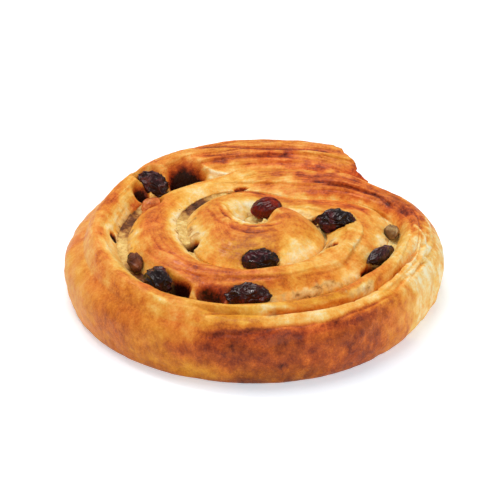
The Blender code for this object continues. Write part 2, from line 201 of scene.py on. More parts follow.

# Browning of the strip, on a scale from pale, 0, to nearly black, 1: turn, place across, half
# lengths of both, browning, and tone from golden, 0, to ruddy, 1. Later rows lie over earlier
# ones. A place across below 0 is down the outer wall, one above 1 down the inner side. Rows
# marked as painted shade darken a place for the shade that falls there.
BROWNED_AND_SHADED = (
    # the tail's top and the outer turn behind
    (0.03, 0.4, 0.15, 0.75, 0.52, 0.65),
    (0.1, 0.93, 0.06, 0.1, 0.38, 0.45),
    (0.0, 0.68, 0.03, 0.12, 0.44, 0.35),
    (0.125, 0.68, 0.014, 0.1, 0.82, 0.9),
    (0.06, 0.72, 0.02, 0.08, 0.66, 0.9),
    (0.015, 0.9, 0.028, 0.06, 0.74, 0.9),
    (-0.035, 0.95, 0.02, 0.2, 0.72, 0.95),
    (0.145, 1.0, 0.028, 0.07, 0.1, 0.3),
    (0.175, 0.5, 0.03, 0.6, 0.44, 0.6),
    # the left, from the deep hollow to the front
    (0.235, 0.3, 0.035, 0.5, 0.38, 0.4),
    (0.268, 0.75, 0.018, 0.2, 0.2, 0.15),
    (0.262, 0.95, 0.02, 0.12, 0.56, 0.9),
    (0.285, 0.38, 0.026, 0.22, 0.84, 0.95),
    (0.316, 0.38, 0.01, 0.22, 0.16, 0.3),
    (0.37, 0.36, 0.065, 0.5, 0.46, 0.7),
    (0.34, 0.8, 0.05, 0.18, 0.18, 0.25),
    (0.385, 0.62, 0.03, 0.12, 0.3, 0.25),
    (0.415, 0.15, 0.045, 0.4, 0.5, 0.75),
    (0.425, 0.68, 0.045, 0.26, 0.26, 0.2),
    (0.48, 0.35, 0.03, 0.35, 0.5, 0.6),
    (0.466, 0.56, 0.012, 0.14, 0.58, 0.95),
    (0.488, 0.3, 0.012, 0.1, 0.26, 0.3),
    # the front: golden slope over the pale lip
    (0.52, 0.4, 0.03, 0.3, 0.46, 0.4),
    (0.522, 0.1, 0.018, 0.2, 0.38, 0.85),
    (0.57, 0.58, 0.045, 0.18, 0.36, 0.15),
    (0.56, 0.76, 0.05, 0.1, 0.48, 0.6),
    (0.558, 0.3, 0.032, 0.18, 0.5, 0.0),
    # painted shade: the lower edge of the lens, where it curves under
    (0.56, 0.05, 0.034, 0.09, 0.62, 0.15),
    # olive slope above the groove: its own tone with painted shade of a steep face
    (0.64, 0.58, 0.048, 0.13, 0.58, 0.0),
    (0.63, 0.8, 0.075, 0.08, 0.58, 0.75),
    (0.592, 0.42, 0.013, 0.14, 0.18, 0.4),
    (0.668, 0.22, 0.066, 0.24, 0.08, 0.3),
    (0.692, 0.54, 0.018, 0.12, 0.14, 0.3),
    (0.735, 0.42, 0.014, 0.14, 0.36, 0.4),
    # the pale flaky right side and the dark patch above it
    (0.785, 0.35, 0.05, 0.6, 0.18, 0.6),
    (0.752, 0.46, 0.016, 0.14, 0.34, 0.4),
    (0.8, 0.1, 0.016, 0.12, 0.08, 0.3),
    (0.8, 0.8, 0.05, 0.2, 0.24, 0.1),
    (0.872, 0.5, 0.06, 0.44, 0.84, 0.85),
    (0.84, 0.16, 0.022, 0.05, 0.1, 0.3),
    (0.86, 0.0, 0.04, 0.12, 0.46, 0.6),
    (0.965, 0.5, 0.06, 0.5, 0.56, 0.7),
    (0.96, 0.86, 0.06, 0.1, 0.68, 0.9),
    # the second turn from the back round the left to the front
    (1.0, 0.45, 0.06, 0.1, 0.68, 0.95),
    (1.06, 0.78, 0.07, 0.16, 0.46, 0.6),
    (1.12, 0.5, 0.03, 0.4, 0.32, 0.25),
    (1.195, 0.75, 0.045, 0.3, 0.2, 0.15),
    (1.21, 0.3, 0.04, 0.25, 0.36, 0.3),
    (1.27, 0.06, 0.022, 0.14, 0.6, 0.95),
    (1.33, 0.46, 0.07, 0.32, 0.53, 0.7),
    (1.35, 0.98, 0.12, 0.17, 0.12, 0.0),
    (1.355, 0.12, 0.04, 0.16, 0.24, 0.15),
    (1.445, 0.5, 0.06, 0.32, 0.56, 0.85),
    # painted shade: the shadowed olive valley beside the third raisin
    (1.478, 0.08, 0.03, 0.18, 0.7, 0.0),
    (1.505, 0.1, 0.014, 0.09, 0.1, 0.25),
    # dark red crevice beside the fourth raisin: ruddy crust with painted shade of its depth
    (1.535, 0.14, 0.024, 0.18, 0.84, 1.0),
    (1.54, 0.5, 0.055, 0.28, 0.6, 0.75),
    (1.61, 0.5, 0.04, 0.28, 0.5, 0.6),
    (1.66, 0.26, 0.05, 0.14, 0.55, 0.35),
    (1.67, 0.56, 0.06, 0.16, 0.34, 0.3),
    # the second turn on the right and behind
    (1.745, 0.42, 0.065, 0.45, 0.32, 0.45),
    (1.74, 0.86, 0.06, 0.14, 0.18, 0.2),
    (1.815, 0.08, 0.028, 0.08, 0.06, 0.25),
    (1.83, 0.5, 0.04, 0.3, 0.38, 0.45),
    (1.902, 0.24, 0.02, 0.14, 0.68, 0.95),
    (1.945, 0.25, 0.055, 0.24, 0.62, 0.9),
    (1.955, 0.85, 0.05, 0.24, 0.16, 0.2),
    # the coil at the centre
    (2.075, 0.2, 0.06, 0.18, 0.62, 0.9),
    (2.12, 0.78, 0.08, 0.28, 0.14, 0.1),
    (2.2, 0.4, 0.05, 0.2, 0.48, 0.5),
    (2.33, 0.5, 0.1, 0.24, 0.52, 0.6),
    (2.4, 0.1, 0.08, 0.22, 0.16, 0.05),
    (2.5, 0.64, 0.1, 0.12, 0.62, 0.8),
    (2.55, 0.28, 0.085, 0.28, 0.62, 0.15),
    (2.46, 0.48, 0.05, 0.12, 0.62, 0.75),
    (2.42, 0.79, 0.14, 0.06, 0.2, 0.15),
    (2.68, 0.12, 0.055, 0.18, 0.09, 0.05),
    (2.8, 0.58, 0.08, 0.34, 0.53, 0.55),
    (2.86, 0.72, 0.05, 0.06, 0.26, 0.3),
    (2.195, 0.72, 0.045, 0.2, 0.16, 0.05),
    # the outer wall from the back round the left to the right
    (0.1, -0.5, 0.18, 0.8, 0.54, 0.55),
    (0.28, -0.45, 0.05, 0.8, 0.44, 0.5),
    (0.38, -0.5, 0.06, 0.8, 0.42, 0.6),
    (0.455, -0.45, 0.04, 0.6, 0.63, 0.45),
    (0.5, -0.7, 0.035, 0.3, 0.6, 0.08),
    (0.585, -0.45, 0.065, 0.4, 0.83, 0.6),
    (0.58, -0.88, 0.08, 0.24, 0.8, 0.1),
    (0.535, -0.8, 0.024, 0.22, 0.54, 0.0),
    (0.67, -0.5, 0.042, 0.75, 0.77, 0.6),
    (0.558, -0.2, 0.028, 0.2, 0.84, 0.85),
    (0.61, -0.26, 0.05, 0.16, 0.8, 0.6),
    (0.625, -0.04, 0.085, 0.07, 0.79, 0.85),
    (0.722, -0.45, 0.02, 0.8, 0.58, 0.4),
    (0.762, -0.45, 0.026, 0.8, 0.19, 0.5),
    (0.815, -0.5, 0.04, 0.9, 0.17, 0.5),
    (0.9, -0.5, 0.04, 0.9, 0.46, 0.5),
)

# Lumps and dips of the crown: turn, place across, half lengths of both, height.
BULGES = (
    (0.56, 0.24, 0.026, 0.18, 0.5),
    (0.62, 0.3, 0.03, 0.12, 0.4),
    (1.5, 0.12, 0.009, 0.09, 0.9),
    (1.66, 0.06, 0.03, 0.08, 0.5),
    (0.47, 0.6, 0.01, 0.12, 0.5),
    (0.165, 0.3, 0.06, 0.35, 0.6),
    (0.955, 0.3, 0.03, 0.35, 1.3),
    (1.175, 0.35, 0.05, 0.45, -1.1),
    (1.589, 0.93, 0.022, 0.16, -1.3),
    (1.843, 0.9, 0.028, 0.18, -1.3),
)

# The darkest that the crust browns outside the hollows, and how dark the hollows, the holes and
# the dough pressed deep under a raisin are painted: partly dark caramelised crust, partly
# painted shade of their depth.
DARKEST_CRUST = 0.84
BURNT_AND_SHADED_BAKE = 1.15

# Crust colours from pale to nearly black, golden and ruddy, and their places on the scale.
BAKE_SCALE = (0.0, 0.12, 0.25, 0.38, 0.5, 0.62, 0.74, 0.86, 1.0)
GOLDEN = (
    (255, 237, 192), (254, 219, 146), (250, 198, 90), (240, 174, 58), (226, 150, 36),
    (204, 118, 24), (172, 90, 16), (134, 60, 10), (50, 18, 6),
)
RUDDY = (
    (255, 243, 206), (255, 224, 162), (254, 194, 116), (250, 164, 80), (242, 130, 52),
    (220, 100, 36), (178, 68, 22), (128, 42, 14), (42, 10, 6),
)

# Where layers flake and striate: turn, place across, half lengths of both, amount along the
# strip and amount slanting over it.
FLAKY = (
    (0.06, 0.4, 0.16, 0.6, 1.0, 0.0),
    (0.8, 0.2, 0.07, 0.9, 0.2, 1.0),
    (0.36, 0.5, 0.12, 0.6, 0.25, 0.0),
    (0.97, 0.5, 0.1, 0.5, 0.8, 0.0),
    (1.08, 0.6, 0.08, 0.4, 0.6, 0.0),
    (1.33, 0.5, 0.09, 0.4, 0.4, 0.0),
    (1.48, 0.5, 0.09, 0.3, 0.5, 0.0),
    (1.76, 0.5, 0.08, 0.45, 0.3, 0.5),
    (1.95, 0.3, 0.07, 0.3, 0.7, 0.0),
    (2.08, 0.25, 0.08, 0.25, 0.6, 0.0),
    (2.5, 0.5, 0.18, 0.3, 0.6, 0.0),
    (2.75, 0.15, 0.05, 0.15, 0.0, 0.6),
    (0.77, -0.5, 0.05, 0.8, 0.0, 1.0),
)

# Where custard coats the dough beside the seam: turn, place across, half lengths, amount.
COATED = (
    (0.335, 0.99, 0.05, 0.08, 0.7),
    (1.345, 0.02, 0.06, 0.1, 0.7),
    (1.36, 1.0, 0.1, 0.08, 0.8),
    (2.36, 0.02, 0.1, 0.12, 0.8),
    (1.485, 0.08, 0.03, 0.1, 0.8),
    (1.66, 0.06, 0.045, 0.1, 1.0),
    (1.8, 0.03, 0.05, 0.06, 0.6),
    (1.955, 0.97, 0.05, 0.14, 0.9),
    (1.73, 0.88, 0.045, 0.12, 0.9),
    (2.1, 1.0, 0.1, 0.12, 0.6),
    (0.695, 0.55, 0.02, 0.09, 0.8),
    (0.592, 0.42, 0.013, 0.16, 0.6),
)

# How brown the custard is along its seam: turn, half length in turns, amount.
CUSTARD_BROWN = (
    (0.2, 0.05, 0.5),
    (0.295, 0.035, 0.85),
    (0.46, 0.06, 0.95),
    (0.64, 0.03, 0.5),
    (1.22, 0.05, 0.9),
    (1.1, 0.04, 0.5),
    (1.88, 0.03, 0.6),
)

# The custard: where it starts and ends along the seam, its foot above the base, how far its
# middle sinks and how far its sides reach into the dough. It runs on further at both ends
# than in the solids. From the notch's start it spreads to the middle of the spiral.
CUSTARD_START = -0.038
CUSTARD_END = 3.0
CUSTARD_FOOT = 0.4
CUSTARD_SINK = 0.5
CUSTARD_OVERLAP = 0.8
CUSTARD_STATIONS = 1200
CUSTARD_POINTS = 17
NOTCH_START = 1.885
NOTCH_WIDENED = 1.912
NOTCH_RADIUS = 0.05

# The camera: aimed from the photograph's height at the spot where the roll's centre appears.
CAMERA_DISTANCE = 600.0
CAMERA_HEIGHT_ANGLE = 30.0
CAMERA_AIM = (-1.0, -4.2, 0.0)
PIXELS_PER_MM = 3.44
SENSOR = 36.0
FRAME_PIXELS = 500
FRAME_SHIFT = (-0.002, 0.080)

# Raisins as the solids have them: name, angle about the spiral's centre, distance from it,
# height of the middle, length, breadth, thickness, turned and tipped in degrees.
RAISINS = (
    ("raisin_1", 138.5, 41.8, 19.2, 11.0, 7.0, 7.0, 150.0, -20.0),
    ("raisin_2", 207.4, 38.8, 18.0, 8.4, 4.2, 4.8, 112.0, 0.0),
    ("raisin_3", 226.0, 39.5, 18.2, 11.4, 7.2, 7.6, 122.0, 16.0),
    ("raisin_4", 265.3, 37.4, 18.0, 13.0, 7.0, 7.4, 2.0, 0.0),
    ("raisin_5", 335.6, 37.9, 18.6, 11.6, 4.8, 5.0, 48.0, 0.0),
    ("raisin_6", 358.0, 38.3, 18.6, 5.8, 4.4, 4.2, 100.0, 0.0),
    ("raisin_7", 3.6, 22.4, 20.4, 12.0, 7.6, 7.6, 8.0, 4.0),
    ("raisin_8", 74.0, 9.2, 20.8, 9.4, 6.4, 6.2, 24.0, 0.0),
    ("raisin_9", 272.0, 22.0, 20.6, 10.6, 7.0, 6.8, 2.0, 0.0),
    ("raisin_10", 155.0, 34.6, 18.4, 8.6, 5.4, 4.8, 64.0, 0.0),
)

# How each raisin looks: its skin, how deep it sinks between its ridges and how deep between
# its fine wrinkles.
SKINS = {
    "raisin_1": ("purple", 0.19, 0.07),
    "raisin_2": ("brown", 0.16, 0.06),
    "raisin_3": ("black", 0.16, 0.04),
    "raisin_4": ("maroon", 0.16, 0.06),
    "raisin_5": ("purple", 0.17, 0.05),
    "raisin_6": ("grey", 0.12, 0.05),
    "raisin_7": ("black", 0.17, 0.05),
    "raisin_8": ("red", 0.12, 0.03),
    "raisin_9": ("black", 0.15, 0.05),
    "raisin_10": ("amber", 0.16, 0.06),
}

# Deep hollows, which sink the dough in its outer turn alone, and small holes: angle about the
# spiral's centre, distance from it, length, breadth, depth, the way each is turned in degrees,
# and how dark it is painted, partly dark caramelised crust and partly painted shade of its depth.
HOLLOWS_END = 0.9
HOLLOWS = (
    (123.5, 38.4, 13.5, 11.6, 8.5, 33.0, 1.0),
    (147.2, 41.2, 6.4, 4.8, 6.0, 62.0, 0.9),
)
HOLES = (
    (206.0, 21.0, 5.4, 4.4, 6.0, -50.0, 1.0),
    (101.5, 25.2, 4.6, 1.6, 1.6, 8.0, 0.7),
    (324.5, 25.2, 5.0, 3.2, 2.6, 45.0, 0.75),
    (20.0, 18.4, 3.6, 3.0, 2.6, 30.0, 0.8),
    (183.5, 41.6, 5.0, 2.0, 3.2, 98.0, 0.9),
    (327.0, 37.1, 9.0, 2.8, 3.2, 54.0, 0.8),
    (234.5, 38.3, 9.5, 4.6, 5.2, -36.0, 0.9),
    (249.5, 37.9, 9.0, 3.0, 3.4, -22.0, 0.6),
)


def through(values, place):
    """A smooth curve through evenly spaced values, read at any place along them."""
    values = np.asarray(values, float)
    place = np.clip(place, 0.0, len(values) - 1.0001)
    first = np.floor(place).astype(int)
    part = place - first
    ends = (2 * values[0] - values[1], 2 * values[-1] - values[-2])
    padded = np.concatenate(([ends[0]], values, [ends[1]]))
    a, b, c, d = (padded[first + step] for step in range(4))
    bend = 3 * (b - c) + d - a
    return b + 0.5 * part * (c - a + part * (2 * a - 5 * b + 4 * c - d + part * bend))


def fade(low, high, place):
    """Rises smoothly from 0 at low to 1 at high."""
    share = np.clip((place - low) / (high - low), 0.0, 1.0)
    return share * share * (3 - 2 * share)


def bell(distance, width):
    """1 at distance 0, falling off smoothly over the width."""
    return np.exp(-((distance / width) ** 2))


def rough(x, y, z, octaves=3):
    """Fractal noise about 0, one value for each place."""
    x, y, z = np.broadcast_arrays(x, y, z)
    places = zip(x.ravel(), y.ravel(), z.ravel())
    return np.array([noise.fractal(place, 0.8, 2.0, octaves) for place in places]).reshape(x.shape)


def seam_radius(turn):
    return through(FREE_EDGE + FIRST_SEAM + SECOND_SEAM + THIRD_SEAM, (turn + 1) * STEPS_PER_TURN)


def at_quarters(values, turn):
    return through(values, turn * 4)


def freedom(turn):
    """1 where the strip's outer side is the roll's own wall, 0 where a turn lies outside it."""
    return 1.0 - fade(0.93, 1.02, turn)


def set_back(turn):
    tail = TAIL_SKEW * (1 - fade(TAIL_TURN, TAIL_TURN + TAIL_LENGTH, turn))
    tip = TIP_SKEW * fade(TIP_TURN - TIP_LENGTH, TIP_TURN, turn)
    return tail + tip


def outer_height(turn):
    seam = at_quarters(SEAM_HEIGHT, np.maximum(turn - 1, 0.0))
    free = freedom(turn)
    return free * at_quarters(WALL_HEIGHT, turn) + (1 - free) * seam


def crown_height(turn, across):
    """Height of the strip's top surface, from its outer side (0) to its inner side (1)."""
    low = outer_height(turn)
    ridge = at_quarters(RIDGE_HEIGHT, turn)
    place = at_quarters(RIDGE_PLACE, turn)
    inner = at_quarters(SEAM_HEIGHT, turn)
    climb = np.clip(across / place, 0.0, 1.0)
    plain_rise = low + (ridge - low) * np.sin(0.5 * np.pi * climb) ** 0.85
    lip_width = STEP_WIDTH + LENS_WIDENING * bell(turn - LENS_TURN, LENS_LENGTH)
    late = np.clip((climb - lip_width) / (1 - lip_width), 0.0, 1.0)
    lip = low + STEP_RISE * np.sin(0.5 * np.pi * np.minimum(climb / (0.92 * lip_width), 1.0)) ** 0.6
    groove = GROOVE_DEPTH * bell(climb - lip_width, GROOVE_WIDTH)
    groove = groove * fade(GROOVE_START, GROOVE_START + GROOVE_FADE, turn)
    stepped = lip - groove + (ridge - low - STEP_RISE) * np.sin(0.5 * np.pi * late) ** 0.7
    step = fade(STEP_START, STEP_START + 0.6 * STEP_FADE, turn)
    step = step * (1 - fade(STEP_END - STEP_FADE, STEP_END, turn))
    rise = plain_rise + (stepped - plain_rise) * step
    fall = np.clip((across - place) / (1 - place), 0.0, 1.0)
    drop = inner + (ridge - inner) * np.cos(0.5 * np.pi * fall) ** 0.9
    return np.where(across < place, rise, drop) + swells(turn, across)


def swells(turn, across):
    swell = 0.0
    for number, waves in enumerate(SWELLS_PER_TURN):
        swell = swell + np.sin(2 * np.pi * waves * turn + 2.2 * number + 3.0 * across) / (number + 1)
    return np.sin(np.pi * across) * swell * SWELL_HEIGHT * (1 - 0.8 * fade(*SWELLS_CALM, turn))


def around(turn, radius):
    angle = np.radians(TAIL_ANGLE + 360.0 * turn)
    return SPIRAL_CENTRE[0] + radius * np.cos(angle), SPIRAL_CENTRE[1] + radius * np.sin(angle)


def strip_sides(turn):
    """Distance of the strip's outer and inner side from the spiral's centre."""
    outer = seam_radius(turn - 1) - 0.5 * (1 - freedom(turn)) * at_quarters(SEAM_WIDTH, turn - 1)
    inner = seam_radius(turn) + 0.5 * at_quarters(SEAM_WIDTH, turn)
    return outer, inner


def closed_seam(turn):
    """How far the seam on the strip's inner side has closed at the top, from 0 to 1."""
    total = np.zeros_like(turn)
    for where, half, amount in CLOSED:
        total = np.maximum(total, amount * np.exp(-(((turn - where) / half) ** 4)))
    return total


def strip_place(turn, across, level):
    """Places on the strip's surface: on the crown level is 1, on a side it runs up from 0."""
    free = freedom(turn)
    outer, inner = strip_sides(turn)
    near_top = fade(0.72, 1.0, level)
    reach_in = near_top * closed_seam(turn) * (0.5 * at_quarters(SEAM_WIDTH, turn) - SEAM_LEFT)
    before = turn - 1
    reach_out = near_top * closed_seam(before) * (0.5 * at_quarters(SEAM_WIDTH, before) - SEAM_LEFT)
    inner = inner - reach_in
    outer = outer + (1 - free) * reach_out
    below = np.maximum(0.0, 1 - level / BELLY_LEVEL)
    above = np.maximum(0.0, (level - BELLY_LEVEL) / (1 - BELLY_LEVEL))
    tuck = free * (1 - across) * (FOOT_TUCK * below**2.2 + at_quarters(TOP_ROLL, turn) * above**2.2)
    x, y = around(turn, outer + (inner - outer) * across - tuck)
    return np.stack((x, y, level * crown_height(turn, across)), axis=-1)


def along_strip(turn):
    """Length along the middle of the strip from the tail, in millimetres."""
    turns = np.linspace(-0.15, 3.0, 1500)
    radius = 0.5 * sum(strip_sides(turns))
    steps = np.diff(turns) * 2 * np.pi * 0.5 * (radius[1:] + radius[:-1])
    return np.interp(turn, turns, np.concatenate(([0.0], np.cumsum(steps))))


def stations(first, last, count):
    """Turn numbers from first to last, spaced closer where the spiral is tight."""
    turns = np.linspace(first, last, 4000)
    density = np.sqrt(np.maximum(seam_radius(turns - 0.5), 6.0))
    reach = np.concatenate(([0.0], np.cumsum(0.5 * (density[1:] + density[:-1]))))
    return np.interp(np.linspace(0.0, reach[-1], count), reach, turns)


def on_edge(line, turn, across, width):
    """Distance across from a layer's edge in millimetres, and how present it is there."""
    first, last, start, end = line[:4]
    share = (turn - first) / (last - first)
    wander = 0.35 * np.sin(23.0 * turn + 40.0 * start) + 0.25 * np.sin(61.0 * turn + 9.0 * end)
    distance = (across - start - (end - start) * share) * width + wander
    ends = fade(0.0, 0.18, share) * (1 - fade(0.82, 1.0, share))
    return distance, ends


def near_line(points, places, reach):
    """How near each point is in plan to a curve through places: 1 on it, 0 beyond its reach.
    The curve thins out at both ends and wavers a little."""
    places = np.asarray(places, float)
    count = 12 * (len(places) - 1)
    run = np.linspace(0.0, len(places) - 1.0, count + 1)
    curve = np.stack((through(places[:, 0], run), through(places[:, 1], run)), axis=-1)
    flat = points[..., :2].reshape(-1, 2)
    low, high = curve.min(axis=0) - 3 * reach, curve.max(axis=0) + 3 * reach
    close = np.all((flat > low) & (flat < high), axis=1)
    chosen = flat[close]
    chosen = chosen + 0.12 * np.sin(0.7 * chosen[:, ::-1] + places[0])
    best = np.full(len(chosen), 1e9)
    share = np.zeros(len(chosen))
    for number in range(count):
        start, step = curve[number], curve[number + 1] - curve[number]
        part = np.clip((chosen - start) @ step / (step @ step), 0.0, 1.0)
        distance = np.linalg.norm(chosen - start - part[:, None] * step, axis=1)
        nearer = distance < best
        best = np.where(nearer, distance, best)
        share = np.where(nearer, (number + part) / count, share)
    ends = fade(0.0, 0.14, share) * (1 - fade(0.86, 1.0, share))
    near = np.zeros(len(flat))
    near[close] = bell(best, reach) * ends
    return near.reshape(points.shape[:2])


def spots(table, turn, side, column=4):
    """Sum of soft patches on the strip."""
    total = np.zeros_like(turn)
    for row in table:
        total += row[column] * bell(turn - row[0], row[2]) * bell(side - row[1], row[3])
    return total


def side_place(across, level):
    """The place across the strip, running below 0 down its sides."""
    return np.where(level < 1.0, level - 1.0, across)


def relief(points, turn, across, level, along, width):
    """Relief of the baked surface in millimetres: layer edges, creases, striations, blisters."""
    crown = fade(0.85, 1.0, level)
    side = side_place(across, level)
    height = np.zeros_like(turn)
    for line in LAYER_EDGES:
        distance, present = on_edge(line, turn, across, width)
        edge = 0.5 - fade(-0.5 * line[5], 0.5 * line[5], distance)
        height += line[4] * edge * bell(distance, 2.6) * present * crown
    for depth, reach, _, places in CREASES:
        height -= depth * near_line(points, places, reach) * fade(0.55, 0.85, level)
    height += spots(BULGES, turn, side) * crown
    across_mm = across * width
    drift = across_mm + 1.6 * rough(along / 17.0, across_mm / 6.0, 3.0, 2)
    height += (0.07 + 0.26 * spots(FLAKY, turn, side)) * crown * rough(along / 15.0, drift / 1.5, 7.0, 3)
    slant = across_mm + 0.75 * along
    back = along - 0.75 * across_mm
    height += 0.42 * spots(FLAKY, turn, side, 5) * rough(slant / 2.2, back / 9.0, 11.0, 3)
    wall = (1 - crown) * freedom(turn)
    rise = level * WALL_RISE
    height += wall * 0.44 * rough(along / 9.0, rise / 8.0, 20.0, 2)
    height += wall * 0.20 * rough(along / 2.6, rise / 4.2, 30.0, 3)
    height += crown * 0.12 * rough(along / 5.0, across_mm / 3.0, 40.0, 2)
    height += 0.05 * rough(along / 1.2, (across_mm + rise) / 1.2, 44.0, 2)
    return height


def shape_axes(length, breadth, thickness, turned, tipped):
    """Half sizes of an egg shape and the matrix that turns it into place."""
    matrix = Euler((0.0, np.radians(tipped), np.radians(turned))).to_matrix()
    return np.array((0.5 * length, 0.5 * breadth, 0.5 * thickness)), np.array(matrix)


def centre_of(shape):
    x, y = around((shape[1] - TAIL_ANGLE) / 360.0, shape[2])
    return np.array((x, y, shape[3]))


def beside(points, shape):
    """Distance in plan from an egg shape's outline in millimetres, negative inside it."""
    half, matrix = shape_axes(*shape[4:7], shape[7], 0.0)
    flat = (points - centre_of(shape)) @ matrix
    size = np.sqrt((flat[..., 0] / half[0]) ** 2 + (flat[..., 1] / half[1]) ** 2)
    reach = np.hypot(flat[..., 0], flat[..., 1])
    return reach * (1 - 1 / np.maximum(size, 1e-3))


def underside(points, shape, room):
    """Height of an egg shape's underside at each point's place in plan, far up outside it."""
    half, matrix = shape_axes(*shape[4:9])
    half = half + room
    flat = points - centre_of(shape)
    flat[..., 2] = 0.0
    start = (flat @ matrix) / half
    rise = matrix[2] / half
    squared = rise @ rise
    mixed = start @ rise
    inside = mixed**2 - squared * (np.sum(start**2, axis=-1) - 1.0)
    low = (-mixed - np.sqrt(np.maximum(inside, 0.0))) / squared
    return np.where(inside > 0, centre_of(shape)[2] + low, FAR_UP)


def settle(points, shape, room, rim, slope):
    """Presses an egg shape into the surface, with a funnel of the given slope round it."""
    away = beside(points, shape) - room
    funnel = centre_of(shape)[2] + rim + slope * np.maximum(away, 0.0) ** 1.3
    funnel = np.where(away < FUNNEL_REACH, funnel, FAR_UP)
    height = points[..., 2]
    soft = 0.5
    share = np.clip(0.5 + 0.5 * (funnel - height) / soft, 0.0, 1.0)
    merged = funnel + (height - funnel) * share - soft * share * (1 - share)
    lowered = np.minimum(np.where(away < FUNNEL_REACH, merged, height), underside(points, shape, room))
    deepest = centre_of(shape)[2] - 0.5 * max(shape[6], shape[5])
    lowered = np.maximum(lowered, np.minimum(height, deepest))
    settled = points.copy()
    settled[..., 2] = lowered
    return settled, height - lowered


def scooped(points, hole, floor=0.35):
    """Sinks a bowl into the surface, flat over the given share of its width. Returns the points
    and each one's share of its depth."""
    angle, distance, length, breadth, depth, turned, _ = hole
    half, matrix = shape_axes(length, breadth, depth, turned, 0.0)
    x, y = around((angle - TAIL_ANGLE) / 360.0, distance)
    flat = (points - np.array((x, y, 0.0))) @ matrix
    share = 1 - fade(floor, 1.1, np.hypot(flat[..., 0] / half[0], flat[..., 1] / half[1]))
    height = points[..., 2]
    sunk = points.copy()
    sunk[..., 2] = np.maximum(height - depth * share, np.minimum(height, 0.4))
    return sunk, share


def blurred(values, reach):
    """Values averaged over a few neighbours across the strip."""
    padded = np.pad(values, ((0, 0), (reach, reach)), mode="edge")
    total = np.cumsum(np.pad(padded, ((0, 0), (1, 0))), axis=1)
    span = 2 * reach + 1
    return (total[:, span:] - total[:, :-span]) / span


def surface_normals(points):
    along = np.gradient(points, axis=0)
    across = np.gradient(points, axis=1)
    normal = np.cross(along, across)
    return normal / np.maximum(np.linalg.norm(normal, axis=-1, keepdims=True), 1e-9)


def new_object(name, data):
    """A new object in the scene."""
    thing = bpy.data.objects.new(name, data)
    bpy.context.scene.collection.objects.link(thing)
    return thing


def grid_mesh(name, points, attributes, cut=None):
    """A closed body through the rings of a grid of points, both ends capped by ring fans. A cut
    gives the first cap its own relief and browning."""
    rows, columns = points.shape[:2]
    places = [points.reshape(-1, 3)]
    faces = []
    for row in range(rows - 1):
        for column in range(columns):
            other = (column + 1) % columns
            first = row * columns
            after = first + columns
            faces.append((first + column, after + column, after + other, first + other))
    values = {key: [value.reshape(rows * columns, -1)] for key, value in attributes.items()}
    count = rows * columns
    for row, flip in ((0, False), (rows - 1, True)):
        ring = points[row]
        middle = ring.mean(axis=0)
        before = row * columns + np.arange(columns)
        for step in range(1, CAP_RINGS):
            shrunk = middle + (ring - middle) * (1 - step / CAP_RINGS)
            own = {key: value[row].reshape(columns, -1) for key, value in attributes.items()}
            if cut and row == 0:
                shrunk, own = cut(shrunk, own, step / CAP_RINGS)
            places.append(shrunk)
            for key in attributes:
                values[key].append(own[key])
            after = count + np.arange(columns)
            faces += cap_faces(before, after, flip)
            before = after
            count += columns
        places.append(shrunk.mean(axis=0)[None, :])
        for key in attributes:
            values[key].append(own[key].mean(axis=0)[None, :])
        for column in range(columns):
            other = (column + 1) % columns
            face = (before[column], before[other], count)
            faces.append(tuple(reversed(face)) if flip else face)
        count += 1
    mesh = bpy.data.meshes.new(name)
    mesh.from_pydata(np.concatenate(places) * MM, [], [tuple(map(int, face)) for face in faces])
    for key, value in values.items():
        flat = np.concatenate(value)
        kind = "FLOAT" if flat.shape[1] == 1 else "FLOAT_VECTOR"
        layer = mesh.attributes.new(key, kind, "POINT")
        field = "value" if kind == "FLOAT" else "vector"
        layer.data.foreach_set(field, flat.astype(np.float32).ravel())
    tidy = bmesh.new()
    tidy.from_mesh(mesh)
    bmesh.ops.recalc_face_normals(tidy, faces=tidy.faces)
    tidy.to_mesh(mesh)
    tidy.free()
    mesh.shade_smooth()
    return new_object(name, mesh)


def cap_faces(before, after, flip):
    faces = []
    for column in range(len(before)):
        other = (column + 1) % len(before)
        face = (before[column], before[other], after[other], after[column])
        faces.append(tuple(reversed(face)) if flip else face)
    return faces


def browning_and_shade(points, turn, across, level, raised):
    """How browned each place is, from 0, pale, to 1, nearly black, and its tone from golden, 0,
    to ruddy, 1. Some patches and the creases add painted shade, and raised relief is made paler
    as a painted highlight and sunken relief darker as painted shade."""
    place = at_quarters(RIDGE_PLACE, turn)
    crown = fade(0.85, 1.0, level)
    free = freedom(turn)
    side = side_place(across, level)
    side = np.where((across > 0.99) & (level < 1.0), 2.0 - level, side)
    x, y, z = (points[..., axis] for axis in range(3))
    near_inner = fade(0.72, 1.0, across)
    near_outer = (1 - fade(0.0, 0.26, across)) * (1 - free)
    value = 0.44 + 0.10 * bell(across - place, 0.34) * crown - 0.22 * near_inner - 0.18 * near_outer
    value += (1 - crown) * free * 0.06
    tone = np.full_like(turn, 0.45)
    turn_shift = 0.35 * rough(x / 7.0, y / 7.0, z / 7.0, 3) / np.maximum(seam_radius(turn - 0.5), 8.0)
    side_shift = 0.10 * rough(x / 5.0, y / 5.0, z / 5.0 + 9.0, 3) * fade(0.0, 0.2, np.abs(side))
    for where, middle, half_turn, half_side, target, kind in BROWNED_AND_SHADED:
        reach = ((turn + turn_shift - where) / half_turn) ** 2
        reach += ((side + side_shift - middle) / half_side) ** 2
        share = np.exp(-(reach**1.4))
        value += share * (target - value)
        tone += share * (kind - tone)
    # Creases darkened by their own browning and painted shade; raised folds paler as a painted highlight.
    for _, reach, stain_and_shade, places in CREASES:
        near = near_line(points, places, 1.3 * reach) * fade(0.5, 0.8, level)
        value += stain_and_shade * near
        tone += np.maximum(stain_and_shade, 0.0) * near
    value += (0.06 + 0.06 * crown) * rough(x / 6.0, y / 6.0, z / 6.0 + 50.0, 3)
    # Painted highlight and shade of the relief: raised places paler, sunken places darker.
    value -= 0.30 * np.clip(raised, -0.35, 0.25) * crown
    return np.minimum(value, DARKEST_CRUST), tone


